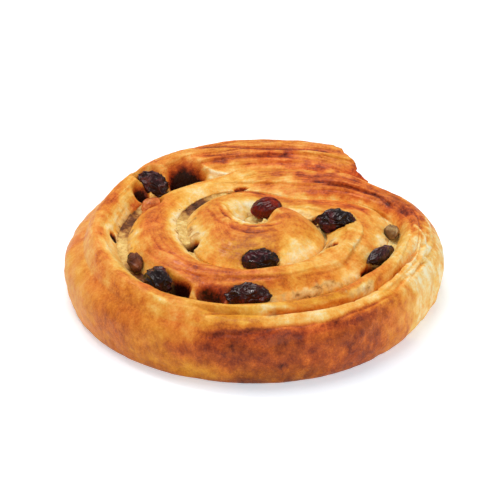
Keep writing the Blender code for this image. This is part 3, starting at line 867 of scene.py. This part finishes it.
def layered_cut(shrunk, own, share):
    """The tail's cut face: paler than the crust, with the edges of its baked layers."""
    layers = rough(shrunk[:, 0] / 9.0, shrunk[:, 1] / 9.0, shrunk[:, 2] / 0.9, 3)[:, None]
    inwards = fade(0.0, 0.35, np.float64(share))
    facing = np.radians(TAIL_ANGLE - 90.0)
    outward = np.array((np.cos(facing), np.sin(facing), 0.0))
    shrunk = shrunk + outward * (0.6 * layers - 0.5) * inwards
    shrunk[:, 2] = np.maximum(shrunk[:, 2], 0.0)
    own = dict(own)
    own["bake"] = own["bake"] + (0.30 + 0.30 * layers - own["bake"]) * inwards
    return shrunk, own


def make_dough():
    turns = stations(TAIL_TURN, TIP_TURN, STATIONS)
    wall_levels = 1 - (1 - np.linspace(0.0, 1.0, WALL_POINTS, endpoint=False)) ** 1.35
    crown = np.linspace(0.0, 1.0, CROWN_POINTS)
    inner = np.array(INNER_LEVELS)
    across = np.concatenate((np.zeros(WALL_POINTS), crown, np.ones(len(inner)), [0.5]))
    level = np.concatenate((wall_levels, np.ones(CROWN_POINTS), inner, [0.0]))
    turn, across = np.meshgrid(turns, across, indexing="ij")
    level = np.broadcast_to(level, turn.shape)
    ragged = RAGGED * rough(across * 5.5, level * 2.6, 1.7, 4)
    own = turn - set_back(turn) * (across + ragged - CORNER_TRIM * fade(0.75, 1.0, across))
    outer, inner_side = strip_sides(own)
    width = outer - inner_side
    along = along_strip(own)
    points = strip_place(own, across, level)
    height = relief(points, own, across, level, along, width)
    height *= 0.55 + 0.45 * fade(0.0, 0.12, level)
    points = points + surface_normals(points) * height[..., None]
    burnt_and_shade = np.zeros_like(turn)
    # Darkening where a raisin presses the dough deep and in hollows and holes: caramelised crust and
    # painted shade.
    for shape in RAISINS:
        points, depth = settle(points, shape, 0.0, 1.3, 1.2)
        burnt_and_shade = np.maximum(burnt_and_shade, 0.35 * fade(1.5, 4.0, depth))
    for hole in HOLLOWS:
        sunk, share = scooped(points, hole)
        points = np.where(own[..., None] < HOLLOWS_END, sunk, points)
        burnt_and_shade = np.maximum(burnt_and_shade, np.where(own < HOLLOWS_END, hole[-1] * fade(0.0, 0.6, share), 0.0))
    for hole in HOLES:
        points, share = scooped(points, hole, 0.5)
        burnt_and_shade = np.maximum(burnt_and_shade, hole[-1] * fade(0.02, 0.45, share))
    points[..., 2] = np.maximum(points[..., 2], 0.0)
    raised = height - blurred(height, 5)
    # How brown the crust is, with painted shade and highlight, then the darkening of pits, hollows and
    # holes.
    bake, tone = browning_and_shade(points, own, across, level, raised)
    bake = bake + (BURNT_AND_SHADED_BAKE - bake) * burnt_and_shade
    tone = tone + (1.0 - tone) * burnt_and_shade
    side = side_place(across, level)
    coat = spots(COATED, own, across)
    ragged_coat = coat + 0.9 * rough(points[..., 0] / 2.2, points[..., 1] / 2.2, 4.0, 3)
    coated = fade(0.25, 0.75, ragged_coat * coat**0.3) * fade(0.8, 1.0, level)
    coated = coated * (1 - burnt_and_shade)
    strip = np.stack((along, across * width + (1 - level) * WALL_RISE, points[..., 2]), axis=-1)
    attributes = {
        "bake": bake,
        "tone": np.clip(tone, 0.0, 1.0),
        "coated": coated,
        "streaked": np.clip(0.12 + spots(FLAKY, own, side), 0.0, 1.0) * fade(0.85, 1.0, level),
        "slanted": np.clip(spots(FLAKY, own, side, 5), 0.0, 1.0),
        "blistered": (1 - fade(0.8, 1.0, level)) * freedom(own),
        "strip": strip,
    }
    dough = grid_mesh("baked_strip", points, attributes, layered_cut)
    dough.data.materials.append(dough_material())
    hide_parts("dough")
    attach(dough, BODY)


def make_custard():
    turns = stations(CUSTARD_START, CUSTARD_END, CUSTARD_STATIONS)
    share = np.linspace(-1.0, 1.0, CUSTARD_POINTS)
    place = np.concatenate(([-1.0], share, [1.0]))
    top = np.concatenate(([0.0], np.ones(CUSTARD_POINTS), [0.0]))
    turn, place = np.meshgrid(turns, place, indexing="ij")
    half = 0.5 * at_quarters(SEAM_WIDTH, turn) + CUSTARD_OVERLAP
    middle = seam_radius(turn)
    spread = fade(NOTCH_START, NOTCH_WIDENED, turn)
    inner = (middle - half) * (1 - spread) + NOTCH_RADIUS * spread
    outer = middle + half
    radius = inner + (outer - inner) * 0.5 * (1 + place)
    x, y = around(turn, radius)
    lumps = 0.55 * rough(x / 3.0, y / 3.0, 5.0, 2) + 0.10 * rough(x / 0.9, y / 0.9, 9.0, 2)
    edge = np.abs(place) ** 3
    height = at_quarters(SEAM_HEIGHT, turn) + 0.25 * edge - CUSTARD_SINK * (1 - edge)
    height += lumps * (1 - 0.4 * edge)
    height -= 1.4 * closed_seam(turn)
    points = np.stack((x, y, np.where(top > 0, height, CUSTARD_FOOT)), axis=-1)
    for shape in RAISINS:
        points, _ = settle(points, shape, 0.1, 0.4, 1.0)
    # Custard in the hollows and holes is darkened: painted shade of their depth.
    burnt_and_shade = np.zeros_like(turn)
    for hole in HOLLOWS + HOLES:
        points, share = scooped(points, hole)
        burnt_and_shade = np.maximum(burnt_and_shade, hole[-1] * fade(0.0, 0.35, share))
    turn_shift = 0.02 * rough(x / 3.0, y / 3.0, 31.0, 2)
    brown = np.zeros_like(turn)
    for where, reach, amount in CUSTARD_BROWN:
        brown = np.maximum(brown, amount * bell(turn + turn_shift - where, reach))
    strip = np.stack((along_strip(turn), radius, points[..., 2]), axis=-1)
    attributes = {"strip": strip, "browned": np.clip(brown + burnt_and_shade, 0.0, 1.0)}
    custard = grid_mesh("custard_filling", points, attributes)
    custard.data.materials.append(custard_material())
    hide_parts("custard")
    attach(custard, BODY)


def make_raisin(shape):
    """A raisin: sharp ridges with sunken skin between them, and finer wrinkles on the skin."""
    name = shape[0]
    skin, large, fine = SKINS[name]
    half, matrix = shape_axes(*shape[4:9])
    seed = 10.0 * int(name.split("_")[1])
    mesh = bmesh.new()
    bmesh.ops.create_icosphere(mesh, subdivisions=6, radius=1.0)
    for vertex in mesh.verts:
        unit = vertex.co.copy()
        place = Vector((unit.x * half[0], unit.y * half[1], unit.z * half[2]))
        drawn = Vector((place.x / 4.4, place.y / 2.7, place.z / 2.7)) + Vector((seed, 0, 0))
        bend = noise.noise(drawn * 0.5 + Vector((0, 3, 0)))
        warped = drawn + 0.45 * noise.noise_vector(drawn * 1.1)
        ridge = (1 - min(abs(noise.noise(warped)) * 2.6, 1.0)) ** 1.6
        wrinkle = (1 - min(abs(noise.noise(warped * 2.4 + Vector((7, 0, seed)))) * 2.6, 1.0)) ** 1.6
        size = 1.07 + 0.14 * bend - large * (1 - ridge) - fine * (1 - wrinkle)
        taper = 1 - 0.16 * abs(unit.x) ** 3
        place = Vector((place.x, place.y * taper, place.z * taper))
        vertex.co = place * size
    data = bpy.data.meshes.new(name + "_fruit")
    mesh.to_mesh(data)
    mesh.free()
    data.shade_smooth()
    flat = np.empty(len(data.vertices) * 3, dtype=np.float32)
    data.vertices.foreach_get("co", flat)
    placed = flat.reshape(-1, 3) @ matrix.T + centre_of(shape)
    data.vertices.foreach_set("co", (placed * MM).astype(np.float32).ravel())
    data.update()
    fruit = new_object(name + "_fruit", data)
    data.materials.append(raisin_material(skin))
    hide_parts(name)
    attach(fruit, BODY)


class Nodes:
    """A short way to write a material's nodes."""

    def __init__(self, name):
        self.material = bpy.data.materials.new(name)
        self.material.use_nodes = True
        self.tree = self.material.node_tree
        self.shader = self.tree.nodes["Principled BSDF"]

    def add(self, kind, inputs=None, **settings):
        node = self.tree.nodes.new(kind)
        for key, value in settings.items():
            setattr(node, key, value)
        for key, value in (inputs or {}).items():
            self.set(node, key, value)
        return node

    def set(self, node, key, value):
        socket = node.inputs[key]
        if isinstance(value, bpy.types.NodeSocket):
            self.tree.links.new(value, socket)
        else:
            socket.default_value = value

    def finish(self, inputs, depth=None, distance=0.001, strength=0.8):
        """Sets the shader's inputs, with a bump of the given depth, and returns the material."""
        if depth is not None:
            bump = {"Height": depth, "Distance": distance, "Strength": strength}
            inputs["Normal"] = self.add("ShaderNodeBump", bump).outputs["Normal"]
        for key, value in inputs.items():
            self.set(self.shader, key, value)
        return self.material

    def maths(self, operation, first, second=0.0, third=0.0):
        node = self.add("ShaderNodeMath", operation=operation)
        for number, value in enumerate((first, second, third)):
            self.set(node, number, value)
        return node.outputs[0]

    def weighed(self, total, texture, weight):
        """The total plus a texture about its middle, times a weight."""
        centred = self.maths("SUBTRACT", texture, 0.5)
        return self.maths("MULTIPLY_ADD", centred, weight, total)

    def attribute(self, name, output="Fac"):
        return self.add("ShaderNodeAttribute", attribute_name=name).outputs[output]

    def object_place(self):
        return self.add("ShaderNodeTexCoord").outputs["Object"]

    def stretched(self, vector, scale, turned=0.0):
        inputs = {"Vector": vector, "Scale": scale, "Rotation": (0.0, 0.0, np.radians(turned))}
        return self.add("ShaderNodeMapping", inputs).outputs["Vector"]

    def noise(self, vector, scale, detail=4.0, rough=0.55):
        inputs = {"Vector": vector, "Scale": scale, "Detail": detail, "Roughness": rough}
        return self.add("ShaderNodeTexNoise", inputs).outputs["Fac"]

    def ramp(self, value, stops):
        node = self.add("ShaderNodeValToRGB", {"Fac": value})
        elements = node.color_ramp.elements
        while len(elements) < len(stops):
            elements.new(0.5)
        for element, (place, colour) in zip(elements, stops):
            element.position = place
            element.color = (*linear(colour), 1.0)
        return node.outputs["Color"]

    def mix(self, share, first, second, blend="MIX"):
        node = self.add("ShaderNodeMix", data_type="RGBA", blend_type=blend)
        self.set(node, "Factor", share)
        self.set(node, "A", first)
        self.set(node, "B", second)
        return node.outputs["Result"]


def linear(colour):
    """Linear values of a colour given as screen values from 0 to 255."""
    share = np.asarray(colour) / 255.0
    return tuple(np.where(share < 0.04045, share / 12.92, ((share + 0.055) / 1.055) ** 2.4))


def dough_material():
    nodes = Nodes("baked_dough")
    names = ("bake", "tone", "coated", "streaked", "slanted", "blistered")
    bake, tone, coated, streaked, slanted, blistered = (nodes.attribute(name) for name in names)
    strip = nodes.attribute("strip", "Vector")
    place = nodes.object_place()
    streak = nodes.noise(nodes.stretched(strip, (0.13, 2.0, 0.7)), 1.0, 6.0, 0.62)
    slant = nodes.noise(nodes.stretched(strip, (0.5, 0.12, 0.2), 38.0), 1.0, 6.0, 0.62)
    blister = nodes.noise(nodes.stretched(strip, (0.48, 0.18, 0.18)), 1.0, 8.0, 0.66)
    mottle = nodes.noise(place, 360.0, 6.0, 0.6)
    crackle = nodes.noise(place, 520.0, 4.0, 0.6)
    crackle = nodes.maths("ABSOLUTE", nodes.maths("SUBTRACT", crackle, 0.5))
    crackle = nodes.maths("MAXIMUM", nodes.maths("SUBTRACT", 0.035, crackle), 0.0)
    speck = nodes.noise(place, 1500.0, 3.0, 0.6)
    # The crust's value carries how brown it is together with painted shade and highlights.
    value = nodes.weighed(bake, streak, nodes.maths("MULTIPLY", streaked, 0.64))
    value = nodes.weighed(value, slant, nodes.maths("MULTIPLY", slanted, 0.85))
    value = nodes.weighed(value, blister, nodes.maths("MULTIPLY", blistered, 0.50))
    broad = nodes.noise(nodes.stretched(strip, (0.16, 0.10, 0.10)), 1.0, 3.0, 0.5)
    value = nodes.weighed(value, broad, nodes.maths("MULTIPLY_ADD", blistered, -0.14, 0.28))
    value = nodes.weighed(value, mottle, nodes.maths("MULTIPLY_ADD", blistered, -0.24, 0.54))
    value = nodes.weighed(value, speck, nodes.maths("MULTIPLY_ADD", blistered, -0.10, 0.34))
    value = nodes.maths("MULTIPLY_ADD", crackle, -1.8, value)
    # Pale specks on the wall: the crust's own pale specks and painted glints of the glaze.
    flecks_and_glints = nodes.maths("MAXIMUM", nodes.maths("SUBTRACT", speck, 0.62), 0.0)
    value = nodes.maths("MULTIPLY_ADD", flecks_and_glints, nodes.maths("MULTIPLY", blistered, -1.0), value)
    gold, ruddy = (nodes.ramp(value, tuple(zip(BAKE_SCALE, crust))) for crust in (GOLDEN, RUDDY))
    tint = nodes.weighed(tone, nodes.noise(place, 110.0, 3.0, 0.5), 0.9)
    tint = nodes.maths("MINIMUM", nodes.maths("MAXIMUM", tint, 0.0), 1.0)
    colour = nodes.mix(tint, gold, ruddy)
    cream = nodes.ramp(nodes.noise(place, 420.0, 5.0, 0.62), (
        (0.34, (158, 100, 46)), (0.46, (222, 168, 92)), (0.62, (250, 212, 142)), (0.76, (255, 232, 180))))
    colour = nodes.mix(coated, colour, cream)
    gloss = nodes.maths("MULTIPLY_ADD", value, -0.34, 0.66)
    shine = nodes.maths("MAXIMUM", nodes.weighed(gloss, nodes.noise(place, 700.0, 3.0, 0.5), 0.3), 0.26)
    depth = nodes.maths("MULTIPLY", mottle, 0.28)
    depth = nodes.maths("MULTIPLY_ADD", speck, 0.08, depth)
    depth = nodes.maths("MULTIPLY_ADD", crackle, 2.0, depth)
    depth = nodes.maths("MULTIPLY_ADD", streak, nodes.maths("MULTIPLY", streaked, 0.32), depth)
    depth = nodes.maths("MULTIPLY_ADD", slant, nodes.maths("MULTIPLY", slanted, 0.5), depth)
    depth = nodes.maths("MULTIPLY_ADD", blister, nodes.maths("MULTIPLY", blistered, 0.4), depth)
    return nodes.finish({
        "Base Color": colour,
        "Roughness": shine,
        "Specular IOR Level": 0.18,
        "Coat Weight": 0.06,
        "Coat Roughness": 0.16,
        "Subsurface Weight": 0.10,
        "Subsurface Radius": (1.0, 0.45, 0.2),
        "Subsurface Scale": 0.0016,
    }, depth)


def custard_material():
    nodes = Nodes("custard_filling")
    place = nodes.object_place()
    browned = nodes.attribute("browned")
    clots = nodes.noise(place, 380.0, 5.0, 0.62)
    grain = nodes.noise(place, 1300.0, 3.0, 0.6)
    value = nodes.weighed(nodes.weighed(0.72, clots, 0.9), grain, 0.45)
    # Browned custard darkens it, and so does the painted shade in the hollows and holes.
    value = nodes.maths("MULTIPLY_ADD", browned, -0.62, value)
    colour = nodes.ramp(value, (
        (0.00, (34, 12, 8)), (0.20, (104, 56, 24)), (0.38, (158, 104, 50)), (0.56, (208, 160, 84)),
        (0.74, (238, 206, 126)), (0.92, (250, 234, 176))))
    lumps = nodes.maths("MULTIPLY", clots, 0.25)
    return nodes.finish({
        "Base Color": colour,
        "Roughness": nodes.maths("MULTIPLY_ADD", grain, 0.3, 0.40),
        "Specular IOR Level": 0.2,
        "Subsurface Weight": 0.2,
        "Subsurface Radius": (1.0, 0.6, 0.3),
        "Subsurface Scale": 0.0015,
    }, nodes.maths("ADD", lumps, nodes.maths("MULTIPLY", grain, 0.10)))


# Skin colours of the raisins, from darkest to lightest, laid over the skin in noise patches,
# with the plain roughness, the weight of the gloss on top and how far light passes in.
RAISIN_SKINS = {
    "black": (((10, 3, 5), (30, 8, 12), (96, 34, 42)), 0.16, 0.28, 0.06),
    "maroon": (((16, 3, 4), (56, 8, 8), (138, 34, 12)), 0.22, 0.30, 0.15),
    "red": (((40, 4, 5), (100, 14, 8), (168, 46, 14)), 0.18, 0.22, 0.25),
    "brown": (((40, 16, 10), (100, 50, 32), (150, 90, 58)), 0.44, 0.08, 0.15),
    "purple": (((14, 4, 7), (52, 18, 22), (140, 84, 84)), 0.18, 0.30, 0.15),
    "grey": (((60, 36, 22), (138, 100, 60), (206, 172, 114)), 0.32, 0.15, 0.15),
    "amber": (((146, 56, 20), (212, 114, 48), (246, 178, 100)), 0.24, 0.25, 0.25),
}


def raisin_material(skin):
    name = "raisin_skin_" + skin
    if name in bpy.data.materials:
        return bpy.data.materials[name]
    (deep, plain_skin, thin), roughness, gloss, glow = RAISIN_SKINS[skin]
    nodes = Nodes(name)
    place = nodes.object_place()
    patches = nodes.noise(place, 260.0, 5.0, 0.62)
    grain = nodes.noise(place, 1500.0, 4.0, 0.6)
    colour = nodes.ramp(patches, ((0.34, deep), (0.52, plain_skin), (0.70, thin)))
    return nodes.finish({
        "Base Color": colour,
        "Roughness": nodes.weighed(roughness, grain, 0.35),
        "Specular IOR Level": 0.2,
        "Specular Tint": (1.0, 0.78, 0.70, 1.0),
        "Coat Weight": gloss,
        "Coat Roughness": 0.05,
        "Subsurface Weight": glow,
        "Subsurface Radius": (1.0, 0.25, 0.15),
        "Subsurface Scale": 0.0012,
    }, grain, 0.0002, 0.6)


def make_floor():
    bpy.ops.mesh.primitive_plane_add(size=6.0)
    floor = bpy.context.object
    floor.name = "floor"
    nodes = Nodes("floor_paper")
    tint = nodes.noise(nodes.object_place(), 4.0, 2.0, 0.5)
    floor.data.materials.append(nodes.finish({
        "Base Color": nodes.ramp(tint, ((0.3, (247, 248, 250)), (0.7, (250, 250, 251)))),
        "Roughness": 0.9,
        "Specular IOR Level": 0.0,
        "Emission Color": (0.66, 0.86, 1.0, 1.0),
        "Emission Strength": 0.33,
    }))


def make_light(name, place, aim, size, power):
    light = bpy.data.lights.new(name, "AREA")
    light.shape = "DISK"
    light.size = size
    light.energy = power
    thing = new_object(name, light)
    thing.location = place
    thing.rotation_euler = (Vector(place) - Vector(aim)).to_track_quat("Z", "Y").to_euler()


def make_studio():
    scene = bpy.context.scene
    scene.view_settings.view_transform = "Standard"
    world = bpy.data.worlds.new("studio")
    world.use_nodes = True
    world.node_tree.nodes["Background"].inputs["Color"].default_value = (1.0, 1.0, 1.0, 1.0)
    world.node_tree.nodes["Background"].inputs["Strength"].default_value = 0.38
    scene.world = world
    make_light("overhead", (-0.10, 0.22, 0.75), (0.0, 0.0, 0.0), 0.55, 3.4)
    make_light("front", (0.25, -0.90, 0.55), (0.0, 0.0, 0.01), 0.45, 2.2)
    make_light("side", (0.95, -0.25, 0.40), (0.0, 0.0, 0.01), 0.40, 1.0)
    make_light("glint", (-0.30, 0.25, 0.60), (0.0, 0.0, 0.02), 0.05, 0.60)


def make_camera():
    data = bpy.data.cameras.new("camera")
    data.sensor_width = SENSOR
    data.lens = SENSOR * CAMERA_DISTANCE / (FRAME_PIXELS / PIXELS_PER_MM)
    data.shift_x, data.shift_y = FRAME_SHIFT
    data.clip_start = 0.01
    camera = new_object("camera", data)
    lift = np.radians(CAMERA_HEIGHT_ANGLE)
    back = Vector((0.0, -np.cos(lift), np.sin(lift)))
    camera.location = (Vector(CAMERA_AIM) + back * CAMERA_DISTANCE) * MM
    camera.rotation_euler = back.to_track_quat("Z", "Y").to_euler()
    bpy.context.scene.camera = camera


make_camera()
make_studio()
make_floor()
make_dough()
make_custard()
for raisin in RAISINS:
    make_raisin(raisin)
